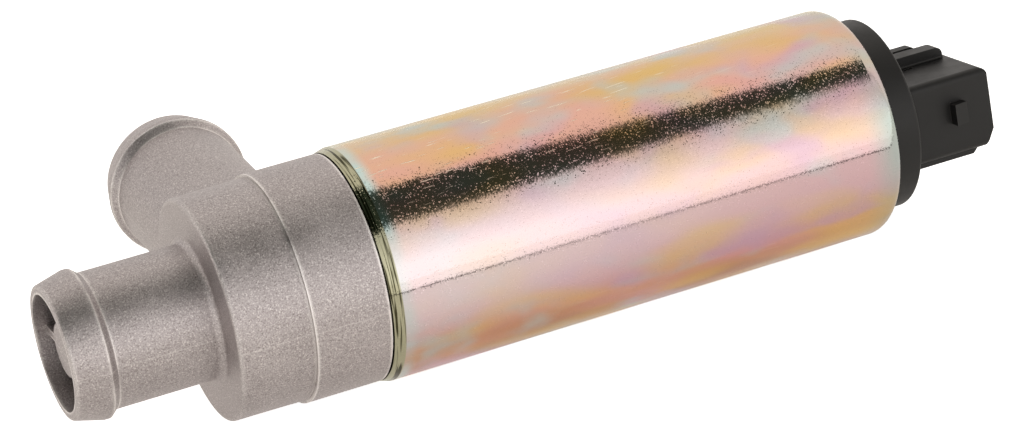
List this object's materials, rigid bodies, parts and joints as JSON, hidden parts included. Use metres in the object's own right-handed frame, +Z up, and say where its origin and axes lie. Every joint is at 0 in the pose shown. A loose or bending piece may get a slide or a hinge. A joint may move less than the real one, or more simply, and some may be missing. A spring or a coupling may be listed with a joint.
{
  "type": "idle control valve",
  "caption": "Solenoid idle air valve: plated can crimped to a cast body with axial and side hose nipples, sliding spool inside, keyed electrical socket at the rear.",
  "frame": {"origin": "on the valve's axis, half way along the steel can, where a clamp holds it", "axes": "+X along the valve towards the electrical socket, +Y out of the side nipple, +Z up"},
  "size_m": [0.1614, 0.0704, 0.0384],
  "materials": {
    "cast_aluminium": "tumbled casting",
    "plated_steel": "yellow passivated zinc",
    "black_moulding": "satin moulding",
    "tinned_brass": "tinned",
    "copper_wire": "enamelled copper",
    "bobbin_moulding": "natural nylon",
    "soft_iron": "turned",
    "stainless_steel": "ground",
    "brass": "turned",
    "seal_rubber": "moulded",
    "turned_aluminium": "turned"
  },
  "bodies": {
    "housing": {"valve_body": "cast_aluminium", "can": "plated_steel", "connector_cap": "black_moulding", "terminal_front": "tinned_brass", "terminal_rear": "tinned_brass", "coil_lead_front": "copper_wire", "coil_lead_rear": "copper_wire", "coil_bobbin": "bobbin_moulding", "coil_winding": "copper_wire", "front_pole_plate": "soft_iron", "rear_pole_plate": "soft_iron", "pole_core": "soft_iron", "guide_tube": "stainless_steel", "anti_stick_washer": "brass", "front_bush": "brass", "rear_bush": "brass", "body_seal": "seal_rubber", "cap_seal": "seal_rubber", "return_spring": "stainless_steel"},
    "plunger": {"valve_rod": "stainless_steel", "armature": "soft_iron", "valve_spool": "turned_aluminium", "spool_clip": "stainless_steel"}
  },
  "joints": [
    {"name": "plunger_slide", "type": "slide", "parent": "housing", "child": "plunger", "axis": [1, 0, 0], "range_m": [0, 0.006], "stiffness_N_per_m": 500, "springref_m": -0.006, "deforming": ["return_spring"]}
  ]
}
